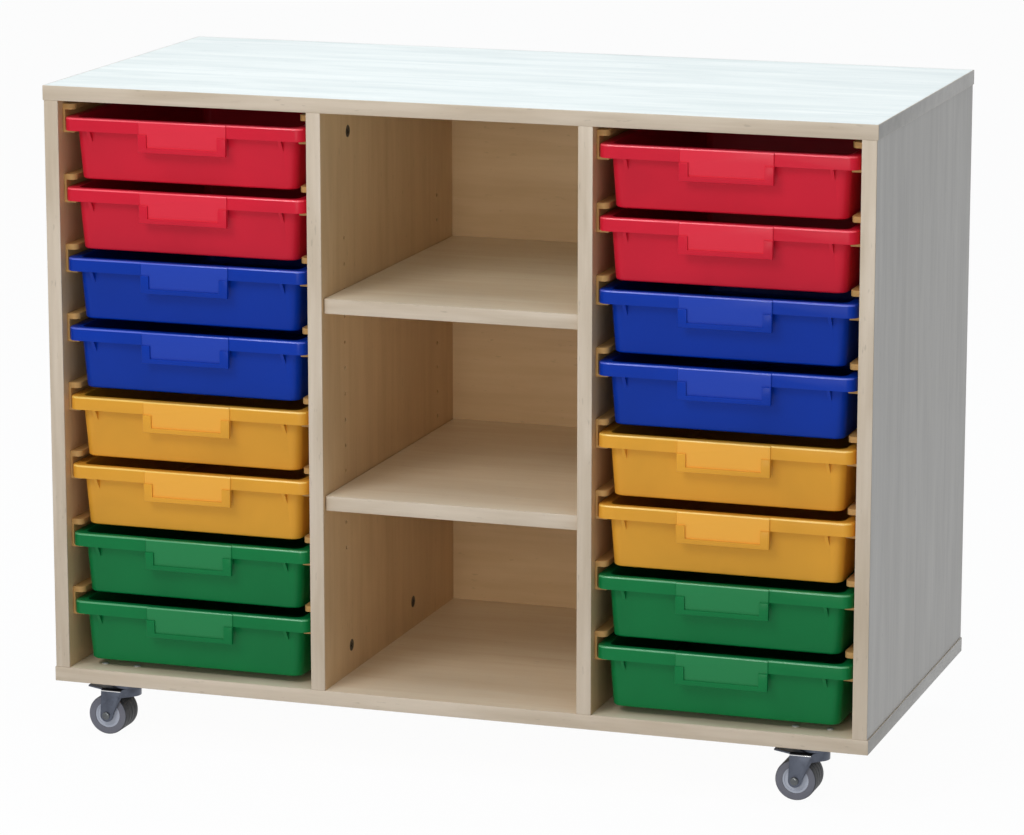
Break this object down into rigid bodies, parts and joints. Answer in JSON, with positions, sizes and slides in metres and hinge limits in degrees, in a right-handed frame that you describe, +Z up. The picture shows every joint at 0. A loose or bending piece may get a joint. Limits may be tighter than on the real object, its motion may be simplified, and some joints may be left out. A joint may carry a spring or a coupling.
{
  "type": "classroom tray storage unit",
  "caption": "Low mobile storage unit of maple-faced board: pull-out coloured trays in a column each side of an open shelved bay, on swivel castors with brakes in front.",
  "frame": {"origin": "on the floor, under the middle of the unit's plan", "axes": "+X to the right as seen from the front, +Y to the back, +Z up"},
  "size_m": [1.035, 0.492, 0.817],
  "materials": {
    "maple_board": "satin melamine",
    "stud_steel": "satin",
    "runner_plastic": "satin",
    "tray_red": "satin",
    "tray_blue": "satin",
    "tray_yellow": "satin",
    "tray_green": "satin",
    "castor_steel": "zinc plated",
    "castor_tread": "matt",
    "pedal_steel": "zinc plated"
  },
  "bodies": {
    "carcass": {"worktop": "maple_board", "base_panel": "maple_board", "left_side_panel": "maple_board", "right_side_panel": "maple_board", "left_divider": "maple_board", "right_divider": "maple_board", "back_panel": "maple_board", "lower_shelf": "maple_board", "upper_shelf": "maple_board", "shelf_studs": "stud_steel", "left_bay_outer_runners": "runner_plastic", "left_bay_inner_runners": "runner_plastic", "right_bay_outer_runners": "runner_plastic", "right_bay_inner_runners": "runner_plastic", "castor_mounts": "castor_steel"},
    "left_tray_1": {"left_tray_1": "tray_red"},
    "left_tray_2": {"left_tray_2": "tray_red"},
    "left_tray_3": {"left_tray_3": "tray_blue"},
    "left_tray_4": {"left_tray_4": "tray_blue"},
    "left_tray_5": {"left_tray_5": "tray_yellow"},
    "left_tray_6": {"left_tray_6": "tray_yellow"},
    "left_tray_7": {"left_tray_7": "tray_green"},
    "left_tray_8": {"left_tray_8": "tray_green"},
    "right_tray_1": {"right_tray_1": "tray_red"},
    "right_tray_2": {"right_tray_2": "tray_red"},
    "right_tray_3": {"right_tray_3": "tray_blue"},
    "right_tray_4": {"right_tray_4": "tray_blue"},
    "right_tray_5": {"right_tray_5": "tray_yellow"},
    "right_tray_6": {"right_tray_6": "tray_yellow"},
    "right_tray_7": {"right_tray_7": "tray_green"},
    "right_tray_8": {"right_tray_8": "tray_green"},
    "front_left_swivel": {"front_left_fork": "castor_steel"},
    "front_left_wheel": {"front_left_wheel": "castor_tread"},
    "front_left_brake_pedal": {"front_left_brake_pedal": "pedal_steel"},
    "front_right_swivel": {"front_right_fork": "castor_steel"},
    "front_right_wheel": {"front_right_wheel": "castor_tread"},
    "front_right_brake_pedal": {"front_right_brake_pedal": "pedal_steel"},
    "rear_left_swivel": {"rear_left_fork": "castor_steel"},
    "rear_left_wheel": {"rear_left_wheel": "castor_tread"},
    "rear_right_swivel": {"rear_right_fork": "castor_steel"},
    "rear_right_wheel": {"rear_right_wheel": "castor_tread"}
  },
  "joints": [
    {"name": "left_tray_1_slide", "type": "slide", "parent": "carcass", "child": "left_tray_1", "axis": [0, -1, 0], "range_m": [0, 0.412]},
    {"name": "left_tray_2_slide", "type": "slide", "parent": "carcass", "child": "left_tray_2", "axis": [0, -1, 0], "range_m": [0, 0.412]},
    {"name": "left_tray_3_slide", "type": "slide", "parent": "carcass", "child": "left_tray_3", "axis": [0, -1, 0], "range_m": [0, 0.412]},
    {"name": "left_tray_4_slide", "type": "slide", "parent": "carcass", "child": "left_tray_4", "axis": [0, -1, 0], "range_m": [0, 0.412]},
    {"name": "left_tray_5_slide", "type": "slide", "parent": "carcass", "child": "left_tray_5", "axis": [0, -1, 0], "range_m": [0, 0.412]},
    {"name": "left_tray_6_slide", "type": "slide", "parent": "carcass", "child": "left_tray_6", "axis": [0, -1, 0], "range_m": [0, 0.412]},
    {"name": "left_tray_7_slide", "type": "slide", "parent": "carcass", "child": "left_tray_7", "axis": [0, -1, 0], "range_m": [0, 0.412]},
    {"name": "left_tray_8_slide", "type": "slide", "parent": "carcass", "child": "left_tray_8", "axis": [0, -1, 0], "range_m": [0, 0.412]},
    {"name": "right_tray_1_slide", "type": "slide", "parent": "carcass", "child": "right_tray_1", "axis": [0, -1, 0], "range_m": [0, 0.412]},
    {"name": "right_tray_2_slide", "type": "slide", "parent": "carcass", "child": "right_tray_2", "axis": [0, -1, 0], "range_m": [0, 0.412]},
    {"name": "right_tray_3_slide", "type": "slide", "parent": "carcass", "child": "right_tray_3", "axis": [0, -1, 0], "range_m": [0, 0.412]},
    {"name": "right_tray_4_slide", "type": "slide", "parent": "carcass", "child": "right_tray_4", "axis": [0, -1, 0], "range_m": [0, 0.412]},
    {"name": "right_tray_5_slide", "type": "slide", "parent": "carcass", "child": "right_tray_5", "axis": [0, -1, 0], "range_m": [0, 0.412]},
    {"name": "right_tray_6_slide", "type": "slide", "parent": "carcass", "child": "right_tray_6", "axis": [0, -1, 0], "range_m": [0, 0.412]},
    {"name": "right_tray_7_slide", "type": "slide", "parent": "carcass", "child": "right_tray_7", "axis": [0, -1, 0], "range_m": [0, 0.412]},
    {"name": "right_tray_8_slide", "type": "slide", "parent": "carcass", "child": "right_tray_8", "axis": [0, -1, 0], "range_m": [0, 0.412]},
    {"name": "front_left_swivel_turn", "type": "hinge", "parent": "carcass", "child": "front_left_swivel", "pos_m": [-0.4425, -0.192, 0.0625], "axis": [0, 0, 1], "continuous": true},
    {"name": "front_left_wheel_spin", "type": "hinge", "parent": "front_left_swivel", "child": "front_left_wheel", "pos_m": [-0.4635, -0.192, 0.025], "axis": [0, 1, 0], "continuous": true},
    {"name": "front_left_brake_press", "type": "hinge", "parent": "front_left_swivel", "child": "front_left_brake_pedal", "pos_m": [-0.4625, -0.192, 0.0537], "axis": [0, 1, 0], "range_deg": [-30, 0]},
    {"name": "front_right_swivel_turn", "type": "hinge", "parent": "carcass", "child": "front_right_swivel", "pos_m": [0.4425, -0.192, 0.0625], "axis": [0, 0, 1], "continuous": true},
    {"name": "front_right_wheel_spin", "type": "hinge", "parent": "front_right_swivel", "child": "front_right_wheel", "pos_m": [0.4215, -0.192, 0.025], "axis": [0, 1, 0], "continuous": true},
    {"name": "front_right_brake_press", "type": "hinge", "parent": "front_right_swivel", "child": "front_right_brake_pedal", "pos_m": [0.4225, -0.192, 0.0537], "axis": [0, 1, 0], "range_deg": [-30, 0]},
    {"name": "rear_left_swivel_turn", "type": "hinge", "parent": "carcass", "child": "rear_left_swivel", "pos_m": [-0.4425, 0.192, 0.0625], "axis": [0, 0, 1], "continuous": true},
    {"name": "rear_left_wheel_spin", "type": "hinge", "parent": "rear_left_swivel", "child": "rear_left_wheel", "pos_m": [-0.4635, 0.192, 0.025], "axis": [0, 1, 0], "continuous": true},
    {"name": "rear_right_swivel_turn", "type": "hinge", "parent": "carcass", "child": "rear_right_swivel", "pos_m": [0.4425, 0.192, 0.0625], "axis": [0, 0, 1], "continuous": true},
    {"name": "rear_right_wheel_spin", "type": "hinge", "parent": "rear_right_swivel", "child": "rear_right_wheel", "pos_m": [0.4215, 0.192, 0.025], "axis": [0, 1, 0], "continuous": true}
  ]
}
